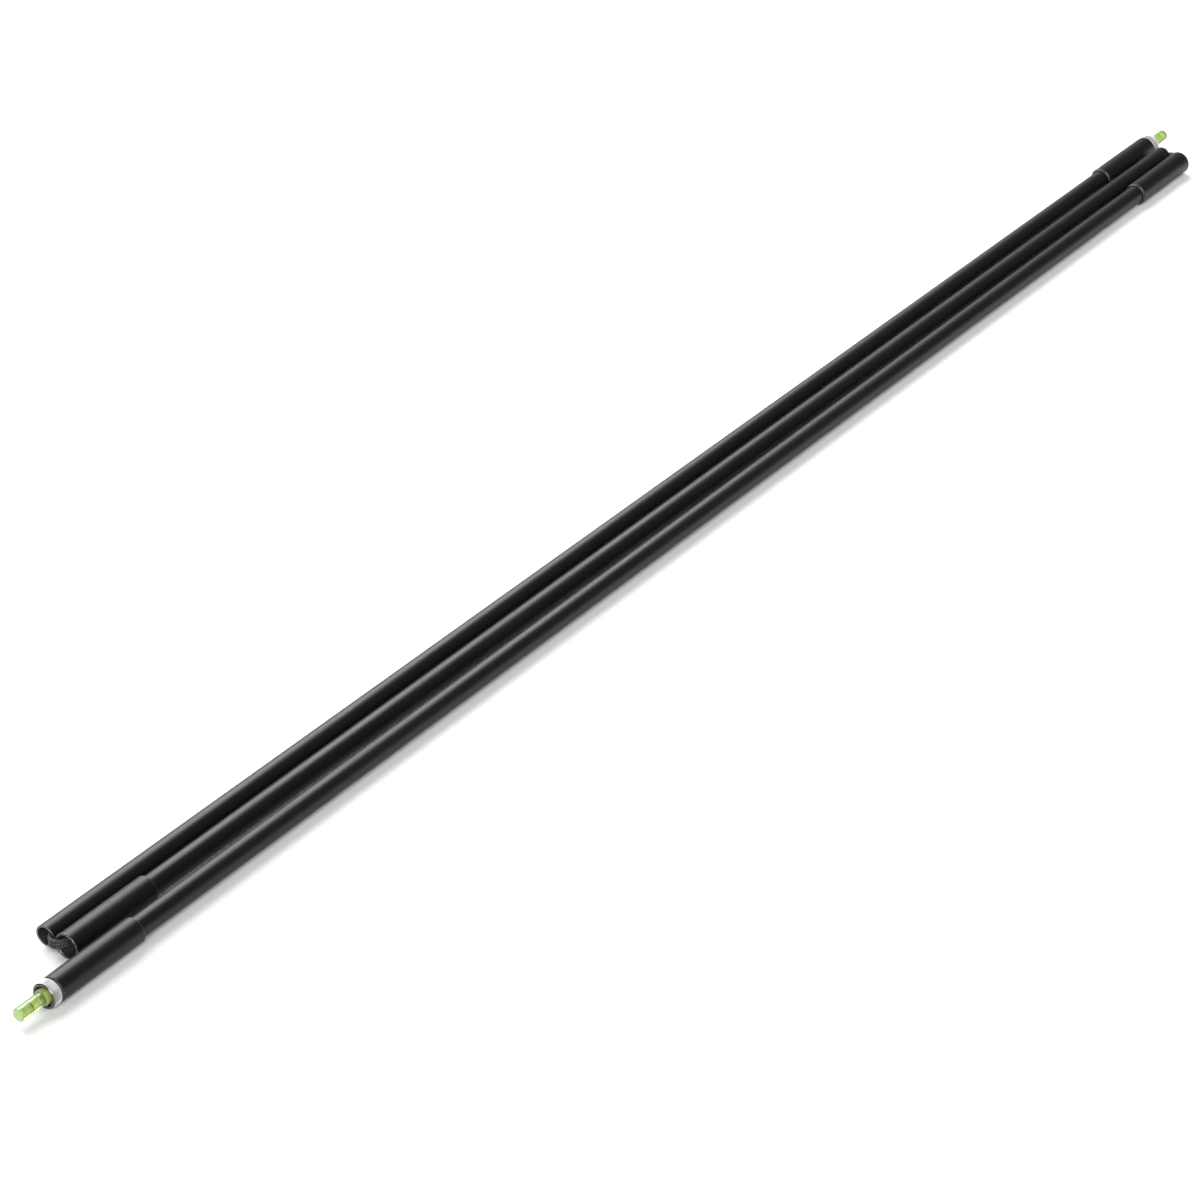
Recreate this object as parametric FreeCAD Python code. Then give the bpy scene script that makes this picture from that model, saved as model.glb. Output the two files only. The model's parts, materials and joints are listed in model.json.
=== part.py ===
import FreeCAD, Part
import math
import os

# Folding probe pole: three tube sections on one elastic cord, folded into a flat bundle.
# Frame: +X runs along the bundle, from the front section's tip to the rear section's tip,
# +Y runs from the front section to the rear section, and +Z is up.
# The origin is on the floor under the centre of the bundle. All sizes are in millimetres.

Vector = FreeCAD.Vector
os.makedirs("parts", exist_ok=True)

# ---------------------------------------------------------------- driving dimensions

MIDDLE_TUBE_LENGTH = 1000.0
FRONT_TUBE_LENGTH = 1006.0
REAR_TUBE_LENGTH = 1012.0
TUBE_DIAMETER = 11.0
TUBE_WALL = 1.0
TUBE_EDGE_CHAMFER = 0.2

SLEEVE_DIAMETER = 13.6
SLEEVE_LENGTH = 57.0
SLEEVE_BEVEL = 0.7
SLEEVE_EDGE_ROUND = 0.9
SOCKET_DEPTH = 28.0
SOCKET_CLEARANCE = 0.06
SOCKET_MOUTH_CHAMFER = 0.5
SOCKET_OUTER_ROUND = 0.5

SECTION_SPACING = 14.0
REAR_TUBE_START = 1.5
FRONT_TUBE_START = -9.5
FRONT_SPLAY_DEG = 0.2
REAR_SPLAY_DEG = 0.05

INSERT_LENGTH = 20.0
INSERT_THREAD_DEPTH = 8.2
INSERT_THREAD_BORE = 9.2
INSERT_CRIMP_BORE = 6.8
INSERT_FLOOR_THICKNESS = 4.5
INSERT_CORD_HOLE = 5.8

COLLAR_DIAMETER = 13.2
COLLAR_LENGTH = 5.8
COLLAR_KNURL_TEETH = 44
COLLAR_KNURL_DEPTH = 0.34
COLLAR_PLAIN_EDGE = 0.5
COLLAR_CHAMFER = 0.45
COLLAR_CUP_DIAMETER = 10.8
COLLAR_CUP_DEPTH = 1.2
COLLAR_STUD_DIAMETER = 9.0
COLLAR_STUD_LENGTH = 7.6
COLLAR_STUD_BORE = 7.7
COLLAR_FRONT_WALL = 1.1
COLLAR_TIP_HOLE = 6.8

TIP_DIAMETER = 6.6
TIP_REACH = 17.0
TIP_SHOULDER_DIAMETER = 7.5
TIP_END_CHAMFER = 0.45
TIP_GROOVE_DEPTH = 0.25
TIP_GROOVE_WIDTH = 0.6
TIP_GROOVE_FROM_COLLAR = 1.6
SCREW_END_GAP = 0.05

CRIMP_DIAMETER = 6.4
CRIMP_LENGTH = 5.0
CRIMP_ROUND = 0.6

STRAND_DIAMETER = 1.6
STRAND_PITCH = 1.7
CORD_SIDE_OFFSET = 3.2
CORD_BEND_RADIUS = 2.4
CORD_OUTSIDE_MOUTH = 0.3
CORD_FACE_GAP = 0.03
CORD_LEAD_LENGTH = 45.0
CORD_DRIFT_START = 12.0
CORD_DRIFT_LENGTH = 55.0
CORD_DRIFT_CORNER_SHARE = 0.45

# ---------------------------------------------------------------- derived places

AXIS_HEIGHT = SLEEVE_DIAMETER / 2.0
STRAND_HEIGHTS = (-STRAND_PITCH, 0.0, STRAND_PITCH)

# Places along the bundle, counted from the mouth of the middle section's socket.
MIDDLE_TUBE_START = SOCKET_DEPTH
MIDDLE_TUBE_END = MIDDLE_TUBE_START + MIDDLE_TUBE_LENGTH
REAR_SLEEVE_END = REAR_TUBE_START + REAR_TUBE_LENGTH + INSERT_LENGTH
FRONT_TUBE_END = FRONT_TUBE_START + FRONT_TUBE_LENGTH
FRONT_SLEEVE_END = FRONT_TUBE_START - INSERT_LENGTH
FRONT_SOCKET_MOUTH = FRONT_TUBE_END + SOCKET_DEPTH

TIP_PROJECTION = COLLAR_LENGTH + TIP_REACH
BUNDLE_START = FRONT_SLEEVE_END - TIP_PROJECTION
BUNDLE_END = REAR_SLEEVE_END + TIP_PROJECTION
BUNDLE_CENTRE = (BUNDLE_START + BUNDLE_END) / 2.0

# The cord bends just past the middle section's end at each fold. A section swings
# about the middle of that bend, and half a turn less its splay brings it in line. The face
# gap keeps the cord's bend clear of the end of the run inside a splayed section.
REAR_FOLD_X = -CORD_OUTSIDE_MOUTH
FRONT_FOLD_X = MIDDLE_TUBE_END + CORD_OUTSIDE_MOUTH
REAR_LEAD_START = REAR_FOLD_X + CORD_LEAD_LENGTH
FRONT_LEAD_START = FRONT_FOLD_X - CORD_LEAD_LENGTH
REAR_SWING_CENTRE = Vector(REAR_FOLD_X, SECTION_SPACING / 2.0, 0)
FRONT_SWING_CENTRE = Vector(FRONT_FOLD_X, -SECTION_SPACING / 2.0, 0)

REAR_SPREAD = (REAR_SLEEVE_END - REAR_FOLD_X) * math.sin(math.radians(REAR_SPLAY_DEG))
FRONT_SPREAD = (FRONT_FOLD_X - FRONT_SLEEVE_END) * math.sin(math.radians(FRONT_SPLAY_DEG))
BUNDLE_CENTRE_Y = (REAR_SPREAD - FRONT_SPREAD) / 2.0


def in_middle(shape):
    return shape.copy()


def in_rear(shape):
    placed = shape.copy()
    placed.translate(Vector(0, SECTION_SPACING, 0))
    placed.rotate(REAR_SWING_CENTRE, Vector(0, 0, 1), REAR_SPLAY_DEG)
    return placed


def in_front(shape):
    placed = shape.copy()
    placed.translate(Vector(0, -SECTION_SPACING, 0))
    placed.rotate(FRONT_SWING_CENTRE, Vector(0, 0, 1), FRONT_SPLAY_DEG)
    return placed


def to_frame(shape):
    """Move a shape from the socket-mouth origin to the bundle's own frame."""
    placed = shape.copy()
    placed.translate(Vector(-BUNDLE_CENTRE, -BUNDLE_CENTRE_Y, AXIS_HEIGHT))
    return placed


def save(name, shape, section=in_middle):
    placed = to_frame(section(shape))
    placed.exportStep("parts/" + name + ".step")
    box = placed.BoundBox
    print("%-22s solids %d valid %s volume %9.2f  x %8.2f %8.2f  y %7.2f %7.2f" % (
        name, len(placed.Solids), placed.isValid(), placed.Volume,
        box.XMin, box.XMax, box.YMin, box.YMax))


# ---------------------------------------------------------------- turned pieces

def revolve_profile(points):
    """Turn a closed (x, radius) outline about the X axis."""
    corners = [Vector(x, radius, 0.0) for x, radius in points]
    wire = Part.makePolygon(corners + [corners[0]])
    return Part.Face(wire).revolve(Vector(0, 0, 0), Vector(1, 0, 0), 360)


def cylinder_x(start, length, diameter):
    return Part.makeCylinder(diameter / 2.0, length, Vector(start, 0, 0), Vector(1, 0, 0))


def facing(shape, direction):
    """Turn a piece modelled along +X so that it points along +X or -X."""
    if direction > 0:
        return shape.copy()
    turned = shape.copy()
    turned.rotate(Vector(0, 0, 0), Vector(0, 0, 1), 180)
    return turned


def moved_x(shape, x):
    moved = shape.copy()
    moved.translate(Vector(x, 0, 0))
    return moved


def make_tube(length):
    """Drawn tube with its cut edges broken."""
    outer = TUBE_DIAMETER / 2.0
    inner = outer - TUBE_WALL
    edge = TUBE_EDGE_CHAMFER
    return revolve_profile([
        (0, inner + edge),
        (0, outer - edge),
        (edge, outer),
        (length - edge, outer),
        (length, outer - edge),
        (length, inner + edge),
        (length - edge, inner),
        (edge, inner),
    ])


def make_socket_sleeve():
    """Sleeve with its mouth at x = 0: a running socket, then the length bonded to the tube."""
    outer = SLEEVE_DIAMETER / 2.0
    bonded = TUBE_DIAMETER / 2.0
    socket = bonded + SOCKET_CLEARANCE
    mouth = SOCKET_MOUTH_CHAMFER
    sleeve = revolve_profile([
        (0, socket + mouth),
        (0, outer),
        (SLEEVE_LENGTH - SLEEVE_BEVEL, outer),
        (SLEEVE_LENGTH, outer - SLEEVE_BEVEL),
        (SLEEVE_LENGTH, bonded),
        (SOCKET_DEPTH, bonded),
        (SOCKET_DEPTH, socket),
        (mouth, socket),
    ])
    return round_outer_edge(sleeve, 0.0, outer, SOCKET_OUTER_ROUND)


def make_tip_sleeve():
    """Sleeve whose outer end is at x = 0 and which runs towards -X over the tube."""
    outer = SLEEVE_DIAMETER / 2.0
    bonded = TUBE_DIAMETER / 2.0
    sleeve = revolve_profile([
        (0, bonded),
        (0, outer),
        (-SLEEVE_LENGTH + SLEEVE_BEVEL, outer),
        (-SLEEVE_LENGTH, outer - SLEEVE_BEVEL),
        (-SLEEVE_LENGTH, bonded),
    ])
    return round_outer_edge(sleeve, 0.0, outer, SLEEVE_EDGE_ROUND)


def round_outer_edge(shape, x, radius, fillet_radius):
    """Round the circular edge of the given radius that lies in the plane at x."""
    chosen = []
    for edge in shape.Edges:
        box = edge.BoundBox
        in_plane = abs(box.XMin - x) < 1e-4 and abs(box.XMax - x) < 1e-4
        if in_plane and abs(box.ZLength / 2.0 - radius) < 1e-3:
            chosen.append(edge)
    return shape.makeFillet(fillet_radius, chosen)


def make_insert():
    """Threaded bush in the tip sleeve, outer face at x = 0, shown with a plain thread bore.

    The step below the thread seats the tip, and the floor holds the crimped cord.
    """
    thread = INSERT_THREAD_BORE / 2.0
    crimp = INSERT_CRIMP_BORE / 2.0
    hole = INSERT_CORD_HOLE / 2.0
    floor = -INSERT_LENGTH + INSERT_FLOOR_THICKNESS
    return revolve_profile([
        (0, thread),
        (0, TUBE_DIAMETER / 2.0),
        (-INSERT_LENGTH, TUBE_DIAMETER / 2.0),
        (-INSERT_LENGTH, hole),
        (floor, hole),
        (floor, crimp),
        (-INSERT_THREAD_DEPTH, crimp),
        (-INSERT_THREAD_DEPTH, thread),
    ])


def make_collar():
    """Knurled clamping collar with a hollow threaded stud, seated against x = 0."""
    outer = COLLAR_DIAMETER / 2.0
    hole = COLLAR_TIP_HOLE / 2.0
    cup_floor = COLLAR_LENGTH - COLLAR_CUP_DEPTH
    wall_back = cup_floor - COLLAR_FRONT_WALL
    cup = COLLAR_CUP_DIAMETER / 2.0
    body = revolve_profile([
        (-COLLAR_STUD_LENGTH, COLLAR_STUD_BORE / 2.0),
        (-COLLAR_STUD_LENGTH, COLLAR_STUD_DIAMETER / 2.0),
        (0, COLLAR_STUD_DIAMETER / 2.0),
        (0, outer - COLLAR_CHAMFER),
        (COLLAR_CHAMFER, outer),
        (COLLAR_LENGTH - COLLAR_CHAMFER, outer),
        (COLLAR_LENGTH, outer - COLLAR_CHAMFER),
        (COLLAR_LENGTH, cup),
        (cup_floor, cup - COLLAR_CUP_DEPTH / 2.0),
        (cup_floor, hole),
        (wall_back, hole),
        (wall_back, COLLAR_STUD_BORE / 2.0),
    ])
    return body.cut(make_knurl_cutter())


def make_knurl_cutter():
    """Ring whose toothed bore leaves V-shaped teeth round the collar's middle band."""
    crest = COLLAR_DIAMETER / 2.0
    root = crest - COLLAR_KNURL_DEPTH
    points = []
    for index in range(2 * COLLAR_KNURL_TEETH):
        angle = math.pi * index / COLLAR_KNURL_TEETH
        radius = crest if index % 2 == 0 else root
        points.append(Vector(COLLAR_PLAIN_EDGE, radius * math.cos(angle), radius * math.sin(angle)))
    band = COLLAR_LENGTH - 2.0 * COLLAR_PLAIN_EDGE
    ring_diameter = COLLAR_DIAMETER + 2.0
    toothed = Part.Face(Part.makePolygon(points + [points[0]])).extrude(Vector(band, 0, 0))
    return cylinder_x(COLLAR_PLAIN_EDGE, band, ring_diameter).cut(toothed)


def make_tip():
    """Clear pin held by its shoulder between the collar's front wall and the insert's step."""
    radius = TIP_DIAMETER / 2.0
    shoulder = TIP_SHOULDER_DIAMETER / 2.0
    back = -INSERT_THREAD_DEPTH + SCREW_END_GAP
    shoulder_front = COLLAR_LENGTH - COLLAR_CUP_DEPTH - COLLAR_FRONT_WALL - SCREW_END_GAP
    groove = COLLAR_LENGTH + TIP_GROOVE_FROM_COLLAR
    end = COLLAR_LENGTH + TIP_REACH
    return revolve_profile([
        (back, 0),
        (back, shoulder),
        (shoulder_front, shoulder),
        (shoulder_front, radius),
        (groove, radius),
        (groove + TIP_GROOVE_DEPTH / 2.0, radius - TIP_GROOVE_DEPTH),
        (groove + TIP_GROOVE_WIDTH, radius - TIP_GROOVE_DEPTH),
        (groove + TIP_GROOVE_WIDTH + TIP_GROOVE_DEPTH / 2.0, radius),
        (end - TIP_END_CHAMFER, radius),
        (end, radius - TIP_END_CHAMFER),
        (end, 0),
    ])


def make_crimp():
    """Ferrule squeezed on the cord's end, resting on the insert's floor."""
    floor = -INSERT_LENGTH + INSERT_FLOOR_THICKNESS
    ferrule = cylinder_x(floor, CRIMP_LENGTH, CRIMP_DIAMETER)
    for height in STRAND_HEIGHTS:
        hole = cylinder_x(floor, CRIMP_LENGTH, STRAND_DIAMETER)
        hole.translate(Vector(0, 0, height))
        ferrule = ferrule.cut(hole)
    return round_outer_edge(ferrule, floor + CRIMP_LENGTH, CRIMP_DIAMETER / 2.0, CRIMP_ROUND)


# ---------------------------------------------------------------- elastic cord

def filleted_path(points, radii):
    """Wire of straight runs joined by tangent arcs, one radius for each inner point."""
    edges = []
    start = points[0]
    for index, radius in enumerate(radii):
        corner = points[index + 1]
        to_back = (points[index] - corner).normalize()
        to_next = (points[index + 2] - corner).normalize()
        half_turn = (math.pi - to_back.getAngle(to_next)) / 2.0
        setback = radius * math.tan(half_turn)
        arc_start = corner + to_back * setback
        arc_end = corner + to_next * setback
        bisector = (to_back + to_next).normalize()
        arc_middle = corner + bisector * (radius / math.cos(half_turn) - radius)
        if (arc_start - start).Length > 1e-6:
            edges.append(Part.LineSegment(start, arc_start).toShape())
        edges.append(Part.Arc(arc_start, arc_middle, arc_end).toShape())
        start = arc_end
    if (points[-1] - start).Length > 1e-6:
        edges.append(Part.LineSegment(start, points[-1]).toShape())
    return Part.Wire(edges)


def make_strands(points, radii):
    """Three equal strands, one above another, that follow a route of (x, y) points."""
    strands = []
    for height in STRAND_HEIGHTS:
        route = [Vector(x, y, height) for x, y in points]
        path = filleted_path(route, radii)
        direction = (route[1] - route[0]).normalize()
        circle = Part.makeCircle(STRAND_DIAMETER / 2.0, route[0], direction)
        tube = path.makePipeShell([Part.Wire([circle])], True, False)
        expected = math.pi * STRAND_DIAMETER ** 2 / 4.0 * path.Length
        print("  strand length %8.2f  volume / section x length %.4f  least radius %s" % (
            path.Length, abs(tube.Volume) / expected, min(radii) if radii else "straight"))
        strands.append(tube)
    return Part.makeCompound(strands)


def drift(x_from, x_to, y_side, y_middle):
    """Route from the side of a bore to its middle, eased at both corners."""
    way = 1.0 if x_to > x_from else -1.0
    return [
        (x_from, y_side),
        (x_from + way * CORD_DRIFT_START, y_side),
        (x_from + way * (CORD_DRIFT_START + CORD_DRIFT_LENGTH), y_middle),
        (x_to, y_middle),
    ]


def drift_radii():
    """Arc radius at the two gentle corners of a drift."""
    turn = math.atan2(CORD_SIDE_OFFSET, CORD_DRIFT_LENGTH)
    radius = CORD_DRIFT_CORNER_SHARE * CORD_DRIFT_START / math.tan(turn / 2.0)
    return [radius, radius]


# ---------------------------------------------------------------- the three sections

def save_tip_end(name, section, sleeve_end, direction):
    """Tip sleeve, insert, crimp, collar and tip at one end of a section."""
    pieces = {
        "tip_sleeve": make_tip_sleeve(),
        "end_insert": make_insert(),
        "cord_crimp": make_crimp(),
        "collar": make_collar(),
        "tip": make_tip(),
    }
    for piece_name, piece in pieces.items():
        save(name + "_" + piece_name, moved_x(facing(piece, direction), sleeve_end), section)


def save_middle_section():
    save("middle_tube", moved_x(make_tube(MIDDLE_TUBE_LENGTH), MIDDLE_TUBE_START))
    save("middle_socket_sleeve", make_socket_sleeve())
    side = CORD_SIDE_OFFSET
    halfway = (REAR_LEAD_START + FRONT_LEAD_START) / 2.0
    route = drift(REAR_LEAD_START, halfway, side, 0.0)[:-1]
    route += list(reversed(drift(FRONT_LEAD_START, halfway, -side, 0.0)[:-1]))
    save("middle_cord_run", make_strands(route, drift_radii() + drift_radii()))


def save_rear_section():
    save("rear_tube", moved_x(make_tube(REAR_TUBE_LENGTH), REAR_TUBE_START), in_rear)
    save_tip_end("rear", in_rear, REAR_SLEEVE_END, 1)
    cord_end = REAR_SLEEVE_END - INSERT_LENGTH + INSERT_FLOOR_THICKNESS + CRIMP_LENGTH
    route = drift(REAR_FOLD_X + CORD_FACE_GAP, cord_end, -CORD_SIDE_OFFSET, 0.0)
    save("rear_cord_run", make_strands(route, drift_radii()), in_rear)


def save_front_section():
    sleeve = moved_x(facing(make_socket_sleeve(), -1), FRONT_SOCKET_MOUTH)
    save("front_tube", moved_x(make_tube(FRONT_TUBE_LENGTH), FRONT_TUBE_START), in_front)
    save("front_socket_sleeve", sleeve, in_front)
    save_tip_end("front", in_front, FRONT_SLEEVE_END, -1)
    cord_end = FRONT_SLEEVE_END + INSERT_LENGTH - INSERT_FLOOR_THICKNESS - CRIMP_LENGTH
    route = [(FRONT_FOLD_X - CORD_FACE_GAP, CORD_SIDE_OFFSET)]
    route += drift(FRONT_TUBE_END, cord_end, CORD_SIDE_OFFSET, 0.0)[1:]
    save("front_cord_run", make_strands(route, drift_radii()), in_front)


def save_fold(name, lead_start, fold_x, side):
    """Cord between two mouths: the lead that stretches, and the link that bends."""
    near = side * CORD_SIDE_OFFSET
    far = side * (SECTION_SPACING - CORD_SIDE_OFFSET)
    outwards = math.copysign(CORD_BEND_RADIUS, fold_x - lead_start)
    save(name + "_cord_lead", make_strands([(lead_start, near), (fold_x, near)], []))
    apex = fold_x + outwards
    route = [(fold_x, near), (apex, near), (apex, far), (fold_x, far)]
    save(name + "_cord_link", make_strands(route, [CORD_BEND_RADIUS, CORD_BEND_RADIUS]))


save_middle_section()
save_rear_section()
save_front_section()
save_fold("rear", REAR_LEAD_START, REAR_FOLD_X, 1.0)
save_fold("front", FRONT_LEAD_START, FRONT_FOLD_X, -1.0)

print("bundle length %.3f, centre x %.3f y %.4f" % (
    BUNDLE_END - BUNDLE_START, BUNDLE_CENTRE, BUNDLE_CENTRE_Y))
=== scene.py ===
import json
import math

import bpy
from mathutils import Matrix, Vector


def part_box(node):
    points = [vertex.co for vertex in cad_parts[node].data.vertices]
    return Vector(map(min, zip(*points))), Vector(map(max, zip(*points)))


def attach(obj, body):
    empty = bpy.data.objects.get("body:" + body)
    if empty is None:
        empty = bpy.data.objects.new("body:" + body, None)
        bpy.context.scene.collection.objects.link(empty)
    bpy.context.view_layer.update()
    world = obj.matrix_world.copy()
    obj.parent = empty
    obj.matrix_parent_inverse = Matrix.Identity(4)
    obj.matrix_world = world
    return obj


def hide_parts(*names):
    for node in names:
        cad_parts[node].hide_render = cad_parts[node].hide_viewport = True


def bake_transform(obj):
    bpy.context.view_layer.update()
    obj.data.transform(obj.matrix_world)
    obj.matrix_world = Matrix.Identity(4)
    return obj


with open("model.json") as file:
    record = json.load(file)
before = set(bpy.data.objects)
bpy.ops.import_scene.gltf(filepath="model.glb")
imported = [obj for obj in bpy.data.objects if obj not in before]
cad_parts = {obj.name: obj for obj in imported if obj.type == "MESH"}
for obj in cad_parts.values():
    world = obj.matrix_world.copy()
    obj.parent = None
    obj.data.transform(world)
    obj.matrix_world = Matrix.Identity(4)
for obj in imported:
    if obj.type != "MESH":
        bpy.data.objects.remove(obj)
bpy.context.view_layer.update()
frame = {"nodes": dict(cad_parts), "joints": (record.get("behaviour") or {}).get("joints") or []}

# Folding probe pole: high-resolution turned pieces, clear tips and braided cord round the CAD
# frame. Lengths are in millimetres in each section's own frame, and MM turns them to metres.

MM = 0.001
UP = Vector((0, 0, 1))

# Turned meshes
ROUND_SEGMENTS = 128
FILLET_STEPS = 4
SUPPORT = 0.22
PAINT_MARGIN = 0.05

# Tubes and sleeves
TUBE_EDGE_ROUND = 0.2
BORE_EDGE_ROUND = 0.16
CUT_FACE_INSET = 0.1
SOCKET_CLEARANCE = 0.06
SOCKET_MOUTH_FLARE = 0.35
SOCKET_FLARE_LENGTH = 0.4
SOCKET_EDGE_ROUND = 0.42
SLEEVE_BEVEL = 0.7
SLEEVE_BEVEL_LENGTH = 0.75
BEVEL_TOP_ROUND = 0.3
BEVEL_FOOT_ROUND = 0.16
TIP_SLEEVE_EDGE_ROUND = 0.85

# Knurled collar
KNURL_TEETH = 44
KNURL_DEPTH = 0.34
KNURL_FLANK = 1.15
KNURL_RUN_OUT = 0.12
SEGMENTS_PER_TOOTH = 10
COLLAR_EDGE = 0.45
COLLAR_PLAIN_BAND = 0.5
COLLAR_CUP_DEPTH = 1.2
COLLAR_CUP_RIM_RADIUS = 5.4
COLLAR_CUP_ROOT_RADIUS = 4.75
COLLAR_FRONT_WALL = 1.1
STUD_RADIUS = 4.5
STUD_BORE_RADIUS = 3.85

# Clear tip. Each line is (name, distance from the tip's end, width).
TIP_RADIUS = 3.3
TIP_BASE_RADIUS = 4.15
TIP_BASE_SLOPE = 0.35
TIP_BASE_GAP = 0.06
TIP_SHOULDER_GAP = 0.05
TIP_GROOVE_FROM_COLLAR = 1.6
TIP_GROOVE_WIDTH = 0.6
TIP_GROOVE_DEPTH = 0.25
TIP_GROOVE_SLOPE = 0.12
CORE_RADIUS = 2.7
CORE_BACK_GAP = 0.8
CORE_END_GAP = 0.35
TIP_LINES = (("end", 2.2, 0.28), ("middle", 7.1, 0.55), ("base", 12.9, 0.3))
TIP_LINE_DEPTH = 0.05
TIP_LINE_HEIGHT = 0.07

# Elastic cord. The sides are distances from a bore's axis. The tilt is between that axis and
# the cord at the mouth.
STRAND_RADIUS = 0.8
STRAND_PITCH = 1.7
STRAND_SIDES = 40
BRAID_YARNS = 8
BRAID_PITCH = 1.5
BRAID_HEIGHT = 0.055
BRAID_STEP = 0.14
HIDDEN_STEP = 6.0
CORD_SIDE_OFFSET = 3.2
CORD_DRIFT_LENGTH = 60.0
CORD_BRAIDED_DEPTH = 16.0
CORD_FOLDS = {
    "rear": {"outward": -1.0, "mouth_side": 4.4, "inner_side": 2.2, "tilt_deg": 45.0},
    "front": {"outward": 1.0, "mouth_side": 3.2, "inner_side": 2.0, "tilt_deg": 30.0},
}


# ---------------------------------------------------------------- places from the frame

def joint(name):
    return next(j for j in frame["joints"] if j["name"] == name)


def place_along(origin, direction):
    """Matrix of a frame whose x runs along a level direction and whose z is up."""
    along = Vector(direction).normalized()
    axes = Matrix((along, UP.cross(along), UP)).transposed()
    return Matrix.Translation(Vector(origin)) @ axes.to_4x4()


def span(node, place):
    """Start, end, least radius and greatest radius of a turned CAD node, in millimetres."""
    inverse = place.inverted()
    points = [inverse @ v.co for v in frame["nodes"][node].data.vertices]
    along = [p.x / MM for p in points]
    radii = [math.hypot(p.y, p.z) / MM for p in points]
    return min(along), max(along), min(radii), max(radii)


SOCKET_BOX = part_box("middle_socket_sleeve")
AXIS_HEIGHT = (SOCKET_BOX[0].z + SOCKET_BOX[1].z) / 2
MIDDLE_Y = (SOCKET_BOX[0].y + SOCKET_BOX[1].y) / 2

# The middle frame starts at the socket's mouth. The other two start where the collar seats on
# the tip sleeve, with x towards the tip.
MIDDLE = place_along((SOCKET_BOX[0].x, MIDDLE_Y, AXIS_HEIGHT), (1, 0, 0))
REAR = place_along(joint("rear_collar_turn")["pos_m"], joint("rear_tip_travel")["axis"])
FRONT = place_along(joint("front_collar_turn")["pos_m"], joint("front_tip_travel")["axis"])
REAR_HINGE = Vector(joint("rear_swing")["pos_m"])
FRONT_HINGE = Vector(joint("front_swing")["pos_m"])


# ---------------------------------------------------------------- material graphs

class Graph:
    """A material's node graph, with short names for the nodes that the materials share."""

    def __init__(self, name):
        self.material = bpy.data.materials.new(name)
        self.material.use_nodes = True
        self.tree = self.material.node_tree
        self.shader = self.tree.nodes["Principled BSDF"]

    def add(self, kind, **settings):
        node = self.tree.nodes.new(kind)
        for key, value in settings.items():
            setattr(node, key, value)
        return node

    def feed(self, socket, value):
        """Give a socket a number, a colour or another node's output."""
        if isinstance(value, bpy.types.NodeSocket):
            self.tree.links.new(value, socket)
        else:
            socket.default_value = value

    def set(self, **values):
        """Set the shader's sockets: base_color=... sets Base Color."""
        for key, value in values.items():
            names = {s.name.lower().replace(" ", "_"): s for s in self.shader.inputs}
            self.feed(names[key], value)

    def attribute(self, name):
        return self.add("ShaderNodeAttribute", attribute_name=name).outputs["Fac"]

    def place(self, stretch):
        coordinates = self.add("ShaderNodeTexCoord").outputs["Object"]
        mapping = self.add("ShaderNodeMapping")
        self.feed(mapping.inputs["Vector"], coordinates)
        self.feed(mapping.inputs["Scale"], stretch)
        return mapping.outputs["Vector"]

    def noise(self, size_mm, stretch=(1, 1, 1), detail=4.0, vector=None):
        """Noise whose features are about size_mm across, drawn out where stretch is small."""
        node = self.add("ShaderNodeTexNoise")
        self.feed(node.inputs["Vector"], self.place(stretch) if vector is None else vector)
        self.feed(node.inputs["Scale"], 1.0 / (size_mm * MM))
        self.feed(node.inputs["Detail"], detail)
        return node.outputs["Fac"]

    def rings(self, size_mm, detail=3.0):
        """One-dimensional noise along the turned outline: the marks of a lathe tool."""
        node = self.add("ShaderNodeTexNoise", noise_dimensions="1D")
        self.feed(node.inputs["W"], self.attribute("outline_mm"))
        self.feed(node.inputs["Scale"], 1.0 / size_mm)
        self.feed(node.inputs["Detail"], detail)
        return node.outputs["Fac"]

    def maths(self, operation, first, second=0.0, clamp=False):
        node = self.add("ShaderNodeMath", operation=operation, use_clamp=clamp)
        self.feed(node.inputs[0], first)
        self.feed(node.inputs[1], second)
        return node.outputs[0]

    def remap(self, value, low, high, to_low, to_high):
        node = self.add("ShaderNodeMapRange", clamp=True)
        self.feed(node.inputs["Value"], value)
        for name, number in (("From Min", low), ("From Max", high),
                             ("To Min", to_low), ("To Max", to_high)):
            self.feed(node.inputs[name], number)
        return node.outputs["Result"]

    def mix(self, factor, first, second):
        node = self.add("ShaderNodeMix", data_type="RGBA")
        for index, value in ((0, factor), (6, first), (7, second)):
            self.feed(node.inputs[index], value)
        return node.outputs[2]

    def bump(self, height, distance_mm):
        node = self.add("ShaderNodeBump")
        self.feed(node.inputs["Height"], height)
        self.feed(node.inputs["Distance"], distance_mm * MM)
        self.feed(self.shader.inputs["Normal"], node.outputs["Normal"])


def grey(value, alpha=1.0):
    return (value, value, value, alpha)


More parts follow.
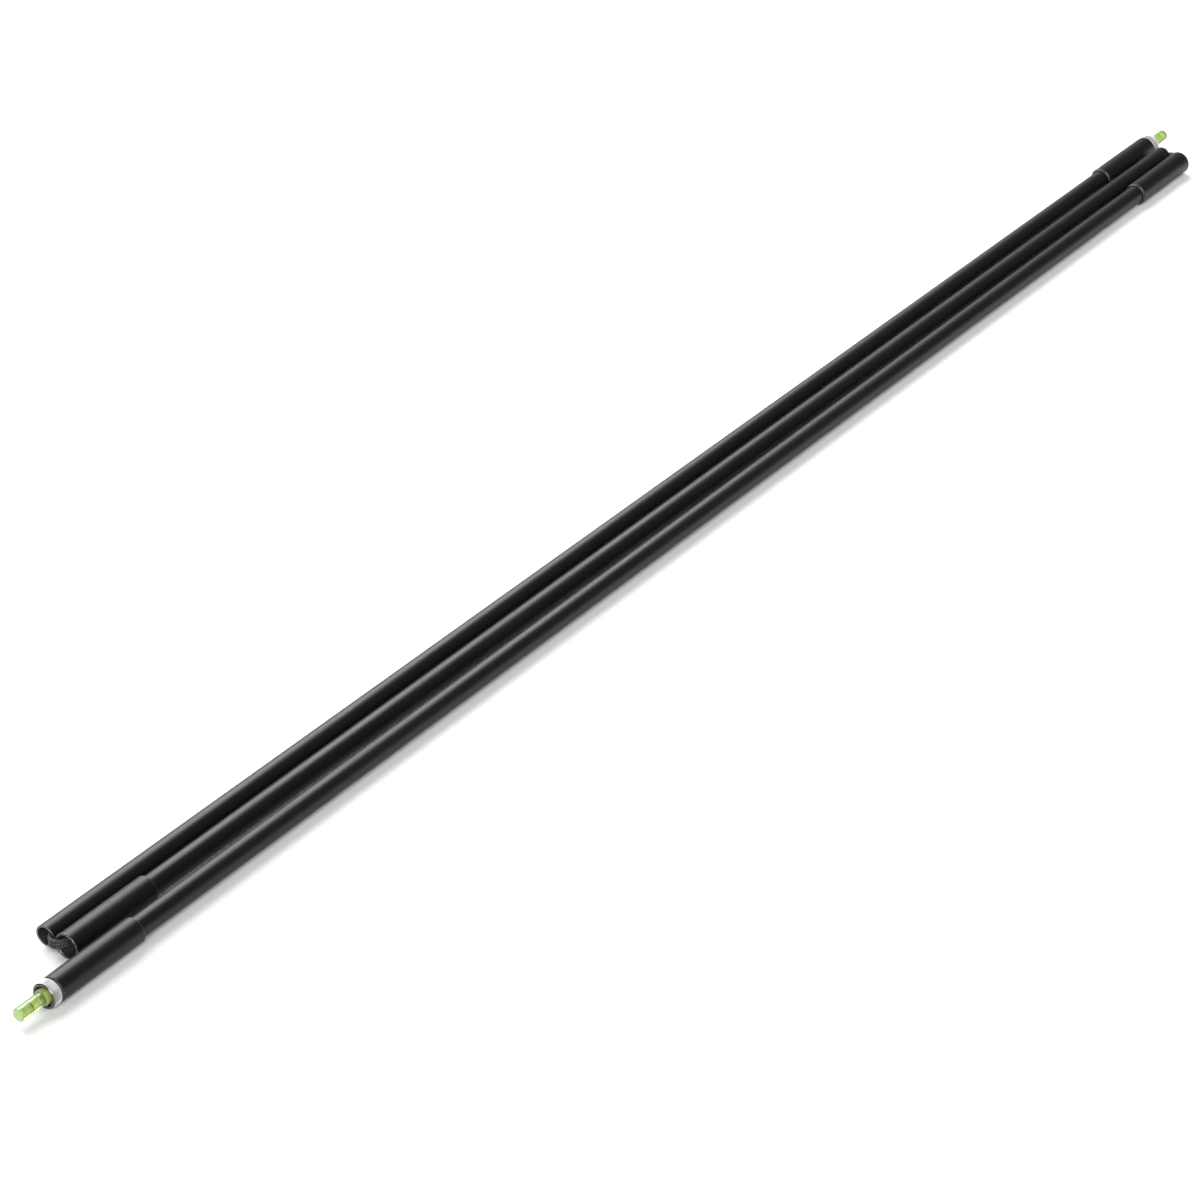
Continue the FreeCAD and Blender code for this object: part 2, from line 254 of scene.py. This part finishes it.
def black_anodised(name, streaks, base):
    """Satin black anodised aluminium: fine grain, drawing marks, and bare metal on worn edges."""
    graph = Graph(name)
    mottle = graph.noise(22.0, (0.35, 1, 1))
    grain = graph.noise(0.16, detail=2.0)
    marks = graph.noise(0.35, streaks, detail=5.0)
    rub = graph.noise(0.9, detail=6.0)
    worn = graph.maths("MULTIPLY", graph.attribute("wear"), graph.remap(rub, 0.4, 0.75, 0, 1))
    black = graph.mix(graph.remap(mottle, 0.3, 0.7, 0, 1), grey(base),
                      (base * 1.25, base * 1.3, base * 1.45, 1))
    finish = graph.mix(graph.maths("MULTIPLY", worn, 0.8), black, (0.3, 0.3, 0.29, 1))
    rough = graph.maths("ADD", graph.remap(mottle, 0.3, 0.7, 0.37, 0.42),
                        graph.remap(marks, 0.3, 0.7, -0.03, 0.04))
    graph.set(base_color=finish, metallic=graph.maths("MULTIPLY", worn, 0.8), roughness=rough,
              ior=1.36)
    graph.bump(graph.maths("ADD", graph.maths("MULTIPLY", grain, 0.35), marks), 0.006)
    return graph.material


def turned_metal(name, colour, rough, bump_mm=0.012, metallic=1.0):
    """Metal off a lathe: rings along the outline, small stains, and painted shade in the knurl
    valleys.
    """
    graph = Graph(name)
    rings = graph.rings(0.11)
    stains = graph.noise(2.4, detail=5.0)
    tint = graph.mix(graph.remap(stains, 0.35, 0.75, 0, 1), colour,
                     tuple(c * 0.78 for c in colour[:3]) + (1,))
    # Painted shade: the colour darkens towards near black where the knurl valleys lie deepest.
    valley_painted_shade = graph.remap(graph.attribute("depth_mm"), 0.15, 0.29, 0, 0.97)
    graph.set(base_color=graph.mix(valley_painted_shade, tint, grey(0.04)), metallic=metallic,
              roughness=graph.maths("ADD", graph.remap(rings, 0.3, 0.7, rough - 0.06, rough + 0.06),
                                    graph.remap(stains, 0.4, 0.8, 0, 0.08)))
    graph.bump(rings, bump_mm)
    return graph.material


def clear_plastic(name, light_tint, dark_tint, rough_low, rough_high, clear_share=1.0):
    """Clear plastic with hairline scratches. Below a clear share of 1 it is partly milky."""
    graph = Graph(name)
    scratches = graph.noise(0.5, (0.08, 1, 1), detail=6.0)
    graph.set(base_color=graph.mix(graph.noise(3.0), light_tint, dark_tint),
              roughness=graph.remap(scratches, 0.45, 0.75, rough_low, rough_high),
              transmission_weight=clear_share, ior=1.46)
    graph.bump(scratches, 0.003)
    return graph.material


def green_core(name):
    """Yellow-green fluorescent core of the tip: bright, a little milky, with faint swirls."""
    graph = Graph(name)
    swirl = graph.noise(2.2, (0.3, 1, 1), detail=5.0)
    graph.set(base_color=graph.mix(graph.remap(swirl, 0.35, 0.7, 0, 1),
                                   (0.46, 0.68, 0.17, 1), (0.68, 0.84, 0.36, 1)),
              roughness=graph.remap(swirl, 0.3, 0.7, 0.06, 0.16), transmission_weight=0.65,
              ior=1.3)
    graph.bump(swirl, 0.01)
    return graph.material


def painted_line(name):
    graph = Graph(name)
    chips = graph.noise(0.3, detail=3.0)
    graph.set(base_color=graph.mix(graph.remap(chips, 0.55, 0.75, 0, 1), grey(0.012), grey(0.05)),
              roughness=graph.remap(chips, 0.3, 0.7, 0.35, 0.5))
    graph.bump(chips, 0.004)
    return graph.material


def braided_cord(name):
    """Black braided cover: the yarns are in the mesh, and this gives their fibres and fuzz, with
    painted shade between the yarns and painted highlights on their crowns.
    """
    graph = Graph(name)
    fibres = graph.noise(0.09, detail=3.0)
    crowns = graph.attribute("braid")
    # Painted shade and highlight: near black where the braid is low, lighter on the yarn crowns.
    yarn_painted_shade_and_highlight = graph.mix(graph.remap(crowns, 0.2, 1.0, 0, 1), grey(0.004), (0.03, 0.03, 0.031, 1))
    graph.set(base_color=graph.mix(graph.remap(fibres, 0.55, 0.8, 0, 0.5), yarn_painted_shade_and_highlight, grey(0.07)),
              roughness=graph.remap(crowns, 0.0, 1.0, 0.85, 0.5), sheen_weight=0.1,
              sheen_roughness=0.4)
    graph.bump(fibres, 0.02)
    return graph.material


TUBE_BLACK = black_anodised("tube_black_finish", (0.012, 1, 1), 0.0032)
SLEEVE_BLACK = black_anodised("sleeve_black_finish", (1, 0.06, 0.06), 0.0032)
BORE_BLACK = turned_metal("bore_dark", (0.2, 0.2, 0.2, 1), 0.45)
CUT_FACE = turned_metal("cut_face_grey", (0.15, 0.15, 0.15, 1), 0.42)
COLLAR_METAL = turned_metal("collar_bright", (0.86, 0.85, 0.83, 1), 0.45, metallic=0.7)
# Painted shade: a darker copy of the collar metal for the collar's back edge.
COLLAR_EDGE_PAINTED_SHADE_METAL = turned_metal("collar_edge_turned", (0.3, 0.298, 0.29, 1), 0.45)
# Painted shade and painted dark reflection: a dark copy of the collar metal for the cup and the
# front chamfer.
CUP_PAINTED_SHADE_METAL = turned_metal("collar_cup_polished", (0.14, 0.14, 0.137, 1), 0.16, 0.006)
INSERT_METAL = turned_metal("insert_turned", (0.62, 0.62, 0.63, 1), 0.34)
CRIMP_METAL = turned_metal("crimp_pressed", (0.5, 0.49, 0.47, 1), 0.38)
CLEAR_WALL = clear_plastic("tip_clear", (0.99, 1.0, 0.95, 1), (0.96, 1.0, 0.86, 1), 0.0, 0.06)
FROSTED_END = clear_plastic("tip_frosted_end", (0.66, 0.88, 0.4, 1), (0.56, 0.8, 0.3, 1),
                            0.15, 0.3, 0.55)
# Painted highlight: a partly milky, light yellow plastic for the tip's wider base.
TIP_BASE_PAINTED_HIGHLIGHT = clear_plastic("tip_base", (0.8, 0.9, 0.36, 1), (0.64, 0.76, 0.22, 1), 0.05, 0.15, 0.75)
TIP_CORE = green_core("tip_core_green")
TIP_LINE = painted_line("tip_black_line")
CORD_BRAID = braided_cord("cord_braid")


# ---------------------------------------------------------------- turned meshes

def rounded_outline(corners):
    """Outline of (x, radius, wear) points from corners of (x, radius, fillet, wear).

    Each fillet is an arc, with a support point on both sides that keeps the long faces flat.
    A corner with no fillet stays sharp.
    """
    count = len(corners)
    outline = []
    for index, (x, radius, fillet, wear) in enumerate(corners):
        corner = Vector((x, radius))
        back = Vector(corners[index - 1][:2]) - corner
        onward = Vector(corners[(index + 1) % count][:2]) - corner
        if fillet <= 0:
            outline.append((x, radius, wear))
            continue
        half = back.angle(onward) / 2
        setback = fillet / math.tan(half)
        first = corner + back.normalized() * setback
        bisector = (back.normalized() + onward.normalized()).normalized()
        centre = corner + bisector * (fillet / math.sin(half))
        last = corner + onward.normalized() * setback
        support = min(SUPPORT, (min(back.length, onward.length) - setback) / 3)
        before = first + back.normalized() * max(support, 0)
        after = last + onward.normalized() * max(support, 0)
        sweep = (first - centre).angle_signed(last - centre)
        arc = []
        for step in range(FILLET_STEPS + 1):
            spoke = (first - centre).copy()
            spoke.rotate(Matrix.Rotation(-sweep * step / FILLET_STEPS, 2))
            arc.append(centre + spoke)
        outline.append((before.x, before.y, 0.0))
        outline += [(p.x, p.y, wear) for p in arc]
        outline.append((after.x, after.y, 0.0))
    return outline


def lathe(name, outline, place, segments=ROUND_SEGMENTS, depth_at=None):
    """Turn an outline about the frame's x axis. It closes on itself unless it ends on the axis.

    depth_at(x, turn), if given, says how far the surface lies below the outline.
    """
    on_axis = outline[0][1] < 1e-9 and outline[-1][1] < 1e-9
    vertices, wear, lengths, depths, rings = [], [], [], [], []
    length = 0.0
    for index, (x, radius, worn) in enumerate(outline):
        if index:
            length += math.dist(outline[index - 1][:2], (x, radius))
        sides = 1 if radius < 1e-9 else segments
        rings.append([len(vertices) + side for side in range(sides)])
        for side in range(sides):
            turn = side / segments
            angle = 2 * math.pi * turn
            depth = depth_at(x, turn) if depth_at else 0.0
            r = radius - depth
            vertices.append(place @ Vector((x * MM, r * MM * math.cos(angle),
                                            r * MM * math.sin(angle))))
            wear.append(worn)
            lengths.append(length)
            depths.append(depth)
    pairs = list(zip(rings, rings[1:]))
    if not on_axis:
        pairs.append((rings[-1], rings[0]))
    faces = []
    for first, second in pairs:
        for side in range(segments):
            onward = (side + 1) % segments
            corners = [first[side % len(first)], first[onward % len(first)],
                       second[onward % len(second)], second[side % len(second)]]
            faces.append(list(dict.fromkeys(corners)))
    attributes = {"wear": wear, "outline_mm": lengths, "depth_mm": depths}
    return mesh_object(name, vertices, faces, attributes)


def mesh_object(name, vertices, faces, attributes):
    """Smooth mesh with outward normals and one float attribute for each named list."""
    mesh = bpy.data.meshes.new(name)
    mesh.from_pydata(vertices, [], faces)
    for key, values in attributes.items():
        mesh.attributes.new(key, "FLOAT", "POINT").data.foreach_set("value", values)
    mesh.validate()
    piece = bpy.data.objects.new(name, mesh)
    bpy.context.scene.collection.objects.link(piece)
    turn_outwards(mesh)
    mesh.shade_smooth()
    return piece


def turn_outwards(mesh):
    """Flip every face if the mesh encloses a negative volume."""
    volume = 0.0
    for face in mesh.polygons:
        points = [mesh.vertices[i].co for i in face.vertices]
        for second, third in zip(points[1:], points[2:]):
            volume += points[0].dot(second.cross(third))
    if volume < 0:
        mesh.flip_normals()


def finish_piece(piece, material, body, slot, *nodes):
    piece.data.materials.append(material)
    if nodes:
        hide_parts(*nodes)
    if body:
        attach(piece, body)
    return piece


def paint(piece, place, material, chosen):
    """Give a second material to the faces whose centre passes chosen(x, radius)."""
    piece.data.materials.append(material)
    index = len(piece.data.materials) - 1
    inverse = place.inverted()
    for face in piece.data.polygons:
        centre = inverse @ face.center
        if chosen(centre.x / MM, math.hypot(centre.y, centre.z) / MM):
            face.material_index = index


# ---------------------------------------------------------------- tubes and sleeves

def build_tube(section, place, body):
    node = section + "_tube"
    start, end, bore, outer = span(node, place)
    outline = rounded_outline([
        (start, bore, BORE_EDGE_ROUND, 0.6),
        (start, outer, TUBE_EDGE_ROUND, 1.0),
        (end, outer, TUBE_EDGE_ROUND, 1.0),
        (end, bore, BORE_EDGE_ROUND, 0.6),
    ])
    tube = lathe(node + "_skin", outline, place)
    finish_piece(tube, TUBE_BLACK, body, "tube_black", node)
    paint(tube, place, BORE_BLACK, lambda x, r: r < bore + PAINT_MARGIN)
    paint(tube, place, CUT_FACE, lambda x, r: (
        bore + PAINT_MARGIN < r < outer - CUT_FACE_INSET
        and not start + PAINT_MARGIN <= x <= end - PAINT_MARGIN))


def build_socket_sleeve(section, place, body):
    """Sleeve with its mouth at the low end of x, and a bevel at the other end."""
    node = section + "_socket_sleeve"
    start, end, bonded, outer = span(node, place)
    seat, _, _, tube_radius = span(section + "_tube", place)
    running = tube_radius + SOCKET_CLEARANCE
    outline = rounded_outline([
        (start, running + SOCKET_MOUTH_FLARE, 0.14, 1.0),
        (start, outer, SOCKET_EDGE_ROUND, 1.0),
        (end - SLEEVE_BEVEL_LENGTH, outer, BEVEL_TOP_ROUND, 0.6),
        (end, outer - SLEEVE_BEVEL, BEVEL_FOOT_ROUND, 1.0),
        (end, bonded, 0.0, 0.0),
        (seat, bonded, 0.0, 0.0),
        (seat, running, 0.0, 0.0),
        (start + SOCKET_FLARE_LENGTH, running, 0.1, 0.5),
    ])
    sleeve = lathe(node + "_skin", outline, place)
    finish_piece(sleeve, SLEEVE_BLACK, body, "sleeve_black", node)
    paint(sleeve, place, BORE_BLACK, lambda x, r: r < running + 0.1 and x < seat)


def build_tip_sleeve(section, place, body):
    """Sleeve that ends at the collar, where x is 0, and is bevelled at its inner end."""
    node = section + "_tip_sleeve"
    start, end, bonded, outer = span(node, place)
    outline = rounded_outline([
        (start, bonded, 0.0, 0.0),
        (start, outer - SLEEVE_BEVEL, BEVEL_FOOT_ROUND, 1.0),
        (start + SLEEVE_BEVEL_LENGTH, outer, BEVEL_TOP_ROUND, 0.6),
        (end, outer, TIP_SLEEVE_EDGE_ROUND, 0.25),
        (end, bonded, 0.0, 0.0),
    ])
    finish_piece(lathe(node + "_skin", outline, place), SLEEVE_BLACK, body, "sleeve_black", node)


# ---------------------------------------------------------------- collar and tip

def build_collar(section, place, body):
    """Knurled collar with a polished cup and the stud that screws into the tip end. The cup, the
    front chamfer and the back edge get darker copies of the collar metal, as painted shade and
    painted dark reflections.
    """
    node = section + "_collar"
    back, front, hole, outer = span(node, place)
    cup_floor = front - COLLAR_CUP_DEPTH
    wall_back = cup_floor - COLLAR_FRONT_WALL
    band_start, band_end = COLLAR_PLAIN_BAND, front - COLLAR_PLAIN_BAND
    knurl_start, knurl_end = band_start + KNURL_RUN_OUT, band_end - KNURL_RUN_OUT
    outline = rounded_outline([
        (back, STUD_BORE_RADIUS, 0.0, 0.0),
        (back, STUD_RADIUS, 0.2, 0.0),
        (0.0, STUD_RADIUS, 0.0, 0.0),
        (0.0, outer - COLLAR_EDGE, 0.0, 0.0),
        (COLLAR_EDGE, outer, 0.1, 0.0),
        (band_start, outer, 0.0, 0.0),
        (knurl_start, outer, 0.0, 0.0),
        (knurl_end, outer, 0.0, 0.0),
        (band_end, outer, 0.0, 0.0),
        (front - COLLAR_EDGE, outer, 0.1, 0.0),
        (front, outer - COLLAR_EDGE, 0.1, 0.0),
        (front, COLLAR_CUP_RIM_RADIUS, 0.16, 0.0),
        (cup_floor, COLLAR_CUP_ROOT_RADIUS, 0.55, 0.0),
        (cup_floor, hole, 0.12, 0.0),
        (wall_back, hole, 0.0, 0.0),
        (wall_back, STUD_BORE_RADIUS, 0.0, 0.0),
    ])

    def knurl(x, turn):
        if not band_start + KNURL_RUN_OUT / 2 < x < band_end - KNURL_RUN_OUT / 2:
            return 0.0
        phase = turn * KNURL_TEETH % 1.0
        return KNURL_DEPTH * min(1.0, KNURL_FLANK * abs(2.0 * phase - 1.0))

    collar = lathe(node + "_turned", outline, place, KNURL_TEETH * SEGMENTS_PER_TOOTH, knurl)
    finish_piece(collar, COLLAR_METAL, body, "collar_metal", node)
    # The back edge of the collar gets the darker copy of the metal as painted shade.
    paint(collar, place, COLLAR_EDGE_PAINTED_SHADE_METAL, lambda x, r: r > STUD_RADIUS and x < knurl_start)
    # The cup and the front chamfer get the dark copy of the metal, as painted shade and dark
    # reflections.
    paint(collar, place, CUP_PAINTED_SHADE_METAL, lambda x, r: x > front - COLLAR_EDGE or (
        x > wall_back and TIP_RADIUS < r < COLLAR_CUP_RIM_RADIUS))


def build_tip(section, place, body):
    """Clear pin with a wider base in the cup, a yellow-green core, black lines and a frosted end.
    The base is a partly milky yellow that is painted lighter, as a painted highlight.
    """
    node = section + "_tip"
    back, end, _, shoulder = span(node, place)
    collar_front = span(section + "_collar", place)[1]
    cup_floor = collar_front - COLLAR_CUP_DEPTH
    base = cup_floor + TIP_BASE_GAP
    wall_back = cup_floor - COLLAR_FRONT_WALL - TIP_SHOULDER_GAP
    groove = collar_front + TIP_GROOVE_FROM_COLLAR
    groove_end = groove + TIP_GROOVE_WIDTH
    groove_radius = TIP_RADIUS - TIP_GROOVE_DEPTH
    outline = rounded_outline([
        (back, 0.0, 0.0, 0.0),
        (back, shoulder, 0.3, 0.0),
        (wall_back, shoulder, 0.1, 0.0),
        (wall_back, TIP_RADIUS, 0.0, 0.0),
        (base, TIP_RADIUS, 0.0, 0.0),
        (base, TIP_BASE_RADIUS, 0.2, 0.0),
        (groove - TIP_BASE_SLOPE, TIP_BASE_RADIUS, 0.15, 0.0),
        (groove + TIP_GROOVE_SLOPE, groove_radius, 0.06, 0.0),
        (groove_end, groove_radius, 0.06, 0.0),
        (groove_end + TIP_GROOVE_SLOPE, TIP_RADIUS, 0.1, 0.0),
        (end, TIP_RADIUS, 0.45, 0.0),
        (end, 0.0, 0.0, 0.0),
    ])
    shell = lathe(node + "_clear", outline, place)
    finish_piece(shell, CLEAR_WALL, body, "clear_tip", node)
    paint(shell, place, FROSTED_END, lambda x, r: x > end - PAINT_MARGIN)
    # The wider base gets the light milky yellow as a painted highlight.
    paint(shell, place, TIP_BASE_PAINTED_HIGHLIGHT, lambda x, r: r > TIP_RADIUS + 0.02 and base < x < groove)

    core = rounded_outline([
        (back + CORE_BACK_GAP, 0.0, 0.0, 0.0),
        (back + CORE_BACK_GAP, CORE_RADIUS, 0.4, 0.0),
        (end - CORE_END_GAP, CORE_RADIUS, 0.35, 0.0),
        (end - CORE_END_GAP, 0.0, 0.0, 0.0),
    ])
    finish_piece(lathe(node + "_core", core, place), TIP_CORE, body, "clear_tip")
    for which, from_end, width in TIP_LINES:
        near_edge, far_edge = end - from_end - width / 2, end - from_end + width / 2
        line = rounded_outline([
            (near_edge, CORE_RADIUS - TIP_LINE_DEPTH, 0.0, 0.0),
            (near_edge, CORE_RADIUS + TIP_LINE_HEIGHT, 0.03, 0.0),
            (far_edge, CORE_RADIUS + TIP_LINE_HEIGHT, 0.03, 0.0),
            (far_edge, CORE_RADIUS - TIP_LINE_DEPTH, 0.0, 0.0),
        ])
        ring = lathe(node + "_line_" + which, line, place)
        finish_piece(ring, TIP_LINE, body, "clear_tip")


# ---------------------------------------------------------------- elastic cord

def braid_height(length, turn):
    """Height of a plain braid's surface, from 0 between yarns to about 1 on a yarn's crown."""
    first = BRAID_YARNS * turn + length / BRAID_PITCH
    second = BRAID_YARNS * turn - length / BRAID_PITCH
    heights = []
    for across, along, shift in ((first, second, 0), (second, first, 1)):
        ridge = 1.0 - (2.0 * (across % 1.0) - 1.0) ** 2
        wave = math.cos(math.pi * (along + math.floor(across) + shift))
        heights.append(0.62 * ridge + 0.38 * wave)
    return max(0.0, max(heights))


def strand_rings(route, place):
    """Centre, side direction and running length along a level route of (x, y) points."""
    points = [place @ Vector((x * MM, y * MM, 0)) for x, y in route]
    rings = []
    length = 0.0
    for index, point in enumerate(points):
        if index:
            length += (point - points[index - 1]).length / MM
        ahead = points[min(index + 1, len(points) - 1)]
        behind = points[max(index - 1, 0)]
        rings.append((point, (ahead - behind).normalized().cross(UP), length))
    return rings


def build_cord(name, route, place, node):
    """Three braided strands, one above another, along one level route."""
    vertices, faces, braid = [], [], []
    for level in (-1, 0, 1):
        first_ring = len(vertices)
        rings = strand_rings(route, place)
        for centre, side, length in rings:
            middle = centre + UP * (level * STRAND_PITCH * MM)
            for index in range(STRAND_SIDES):
                turn = index / STRAND_SIDES
                height = braid_height(length + 0.37 * level, turn)
                reach = (STRAND_RADIUS - BRAID_HEIGHT * (1.0 - height)) * MM
                angle = 2 * math.pi * turn
                vertices.append(middle + side * (reach * math.cos(angle))
                                + UP * (reach * math.sin(angle)))
                braid.append(height)
        for ring in range(len(rings) - 1):
            low = first_ring + ring * STRAND_SIDES
            for index in range(STRAND_SIDES):
                onward = (index + 1) % STRAND_SIDES
                faces.append([low + index, low + onward,
                              low + STRAND_SIDES + onward, low + STRAND_SIDES + index])
        last_ring = first_ring + (len(rings) - 1) * STRAND_SIDES
        faces.append(list(range(first_ring, first_ring + STRAND_SIDES))[::-1])
        faces.append(list(range(last_ring, last_ring + STRAND_SIDES)))
    piece = mesh_object(name, vertices, faces, {"braid": braid})
    return finish_piece(piece, CORD_BRAID, None, "elastic_cord", node)


def steps_between(start, end, step):
    """Evenly spaced numbers from start to end, about one step apart."""
    count = max(1, round(abs(end - start) / step))
    return [start + (end - start) * index / count for index in range(count + 1)]


def smooth(share):
    """Ease from 0 to 1, held at both ends."""
    held = min(max(share, 0.0), 1.0)
    return held * held * (3.0 - 2.0 * held)


def cord_offset(fold, depth, settled, settle_length):
    """Distance of the cord from the bore's axis at a depth inside a mouth.

    The cord leans on the rim at its tilt, curves to the inner side, then eases to settled.
    """
    rise = fold["mouth_side"] - fold["inner_side"]
    curve_length = 2.0 * rise / math.tan(math.radians(fold["tilt_deg"]))
    lean = max(0.0, 1.0 - depth / curve_length) ** 2
    settling = smooth((depth - curve_length) / settle_length)
    return fold["inner_side"] + rise * lean + (settled - fold["inner_side"]) * settling


def build_cord_run(section, place, body):
    """Cord inside a swinging section, from its mouth to the crimp."""
    node = section + "_cord_run"
    inverse = place.inverted()
    points = [inverse @ v.co for v in frame["nodes"][node].data.vertices]
    start = min(p.x for p in points) / MM
    end = max(p.x for p in points) / MM
    side = math.copysign(1.0, sum(p.y for p in points if p.x / MM < start + 1.0))
    visible = start + CORD_BRAIDED_DEPTH
    along = steps_between(start, visible, BRAID_STEP)
    along += steps_between(visible, end, HIDDEN_STEP)[1:]
    fold = CORD_FOLDS[section]
    route = [(x, side * cord_offset(fold, x - start, 0.0, CORD_DRIFT_LENGTH)) for x in along]
    piece = build_cord(node + "_braid", route, place, node)
    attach(piece, body)


def build_fold(section, hinge):
    """Stretching lead in the mouth, and the bend round the hinge to the next section."""
    fold = CORD_FOLDS[section]
    outward = fold["outward"]
    lead = section + "_cord_lead"
    way = math.copysign(1.0, hinge.y - MIDDLE_Y)
    inverse = MIDDLE.inverted()
    box = [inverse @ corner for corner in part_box(lead)]
    fold_x = (inverse @ hinge).x / MM
    inner_x = (max(p.x for p in box) if outward < 0 else min(p.x for p in box)) / MM
    lead_length = abs(inner_x - fold_x)
    route = [(x, way * cord_offset(fold, abs(x - fold_x), CORD_SIDE_OFFSET, lead_length / 2))
             for x in steps_between(inner_x, fold_x, BRAID_STEP)]
    piece = build_cord(lead + "_braid", route, MIDDLE, lead)
    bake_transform(piece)

    link = section + "_cord_link"
    hinge_y = (inverse @ hinge).y / MM
    half_chord = abs(hinge_y - way * fold["mouth_side"])
    half_turn = math.radians(90.0 - fold["tilt_deg"])
    radius = half_chord / math.sin(half_turn)
    count = round(2.0 * half_turn * radius / BRAID_STEP)
    route = []
    for index in range(count + 1):
        angle = half_turn * (2.0 * index / count - 1.0)
        route.append((fold_x + outward * radius * (math.cos(angle) - math.cos(half_turn)),
                      hinge_y + way * radius * math.sin(angle)))
    piece = build_cord(link + "_braid", route, MIDDLE, link)
    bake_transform(piece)


def keep_cad_nodes(material, *nodes):
    """Give CAD nodes that stay as they are their finish."""
    for node in nodes:
        piece = frame["nodes"][node]
        if not piece.material_slots:
            piece.data.materials.append(None)
        for index in range(len(piece.material_slots)):
            piece.material_slots[index].link = "OBJECT"
            piece.material_slots[index].material = material


# ---------------------------------------------------------------- the object

for section_name, section_place in (("middle", MIDDLE), ("rear", REAR), ("front", FRONT)):
    build_tube(section_name, section_place, section_name + "_section")
for section_name, section_place in (("middle", MIDDLE), ("front", FRONT)):
    build_socket_sleeve(section_name, section_place, section_name + "_section")
for section_name, section_place in (("rear", REAR), ("front", FRONT)):
    build_tip_sleeve(section_name, section_place, section_name + "_section")
    build_collar(section_name, section_place, section_name + "_collar")
    build_tip(section_name, section_place, section_name + "_tip")
    build_cord_run(section_name, section_place, section_name + "_section")
build_fold("rear", REAR_HINGE)
build_fold("front", FRONT_HINGE)
keep_cad_nodes(INSERT_METAL, "rear_end_insert", "front_end_insert")
keep_cad_nodes(CRIMP_METAL, "rear_cord_crimp", "front_cord_crimp")
keep_cad_nodes(CORD_BRAID, "middle_cord_run")


# ---------------------------------------------------------------- floor, light and camera

def build_floor():
    half = 40.0
    mesh = bpy.data.meshes.new("floor")
    mesh.from_pydata([(-half, -half, 0), (half, -half, 0), (half, half, 0), (-half, half, 0)],
                     [], [(0, 1, 2, 3)])
    floor = bpy.data.objects.new("floor", mesh)
    graph = Graph("floor_pale")
    graph.set(base_color=grey(0.72), roughness=0.9)
    floor.data.materials.append(graph.material)
    bpy.context.scene.collection.objects.link(floor)


def add_softbox(name, place, aim, size, power):
    light = bpy.data.lights.new(name, "AREA")
    light.shape = "RECTANGLE"
    light.size, light.size_y = size
    light.energy = power
    lamp = bpy.data.objects.new(name, light)
    lamp.location = place
    lamp.rotation_euler = (Vector(aim) - Vector(place)).to_track_quat("-Z", "Y").to_euler()
    bpy.context.scene.collection.objects.link(lamp)


def add_broad_light(name, direction, strength, spread_deg):
    """Even, soft light that comes from a direction and falls on the whole floor alike."""
    light = bpy.data.lights.new(name, "SUN")
    light.energy = strength
    light.angle = math.radians(spread_deg)
    lamp = bpy.data.objects.new(name, light)
    lamp.location = direction
    lamp.rotation_euler = (-Vector(direction)).to_track_quat("-Z", "Y").to_euler()
    bpy.context.scene.collection.objects.link(lamp)


def set_world(strength):
    world = bpy.data.worlds.new("studio")
    world.use_nodes = True
    background = world.node_tree.nodes["Background"]
    background.inputs["Color"].default_value = grey(1.0)
    background.inputs["Strength"].default_value = strength
    bpy.context.scene.world = world


def add_camera(place, aim, roll_deg, lens_mm):
    """Camera at a place, aimed at a point, with its right side raised by the roll."""
    camera = bpy.data.cameras.new("camera")
    camera.lens = lens_mm
    camera.sensor_width = 36.0
    camera.clip_start = 0.05
    camera.clip_end = 50.0
    forward = (Vector(aim) - Vector(place)).normalized()
    level = forward.cross(UP).normalized()
    raised = level.cross(forward)
    roll = math.radians(roll_deg)
    right = level * math.cos(roll) + raised * math.sin(roll)
    axes = Matrix((right, right.cross(forward), -forward)).transposed()
    holder = bpy.data.objects.new("camera", camera)
    holder.matrix_world = Matrix.Translation(Vector(place)) @ axes.to_4x4()
    bpy.context.scene.collection.objects.link(holder)
    bpy.context.scene.camera = holder


build_floor()
set_world(strength=0.15)
add_softbox("back_and_overhead", place=(0.6, 1.3, 1.5), aim=(0.1, 0.0, 0.0),
            size=(2.6, 1.9), power=108)
add_broad_light("near_end_fill", direction=(-1.7, -1.3, 1.4), strength=3.9, spread_deg=45)
add_camera(place=(-1.6494, -1.1519, 1.0922), aim=(-0.1147, -0.0221, 0.0068),
           roll_deg=-2.33, lens_mm=127.86)
bpy.context.scene.view_settings.view_transform = "Standard"
